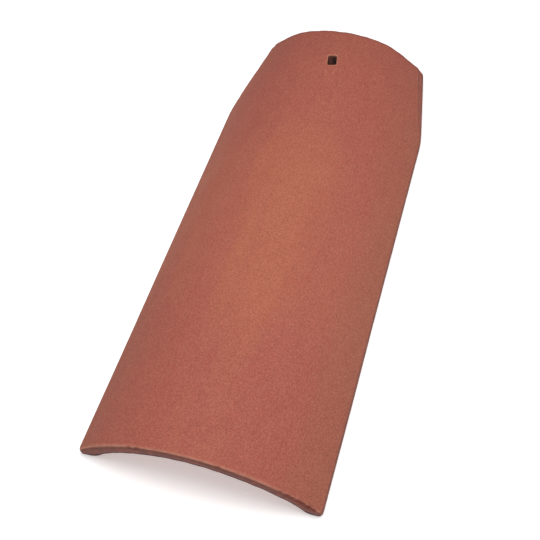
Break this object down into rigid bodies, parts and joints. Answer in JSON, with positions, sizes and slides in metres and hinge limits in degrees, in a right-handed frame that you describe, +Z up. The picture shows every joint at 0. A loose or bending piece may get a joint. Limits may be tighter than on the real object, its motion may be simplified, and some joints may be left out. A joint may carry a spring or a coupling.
{
  "type": "clay roof tile",
  "caption": "Curved clay roof tile: a tapered arched cover with flat feet under its long edges, cut-back head corners and a square nail hole.",
  "frame": {"origin": "on the floor, at the centre of the tile's length and width", "axes": "X runs across the tile, +Y from the wide tail to the head, +Z up out of the crown"},
  "size_m": [0.21, 0.48, 0.057],
  "materials": {
    "fired_clay": "unglazed matte terracotta, fine sandy grain"
  },
  "bodies": {
    "root": {"tile": "fired_clay"}
  },
  "joints": []
}
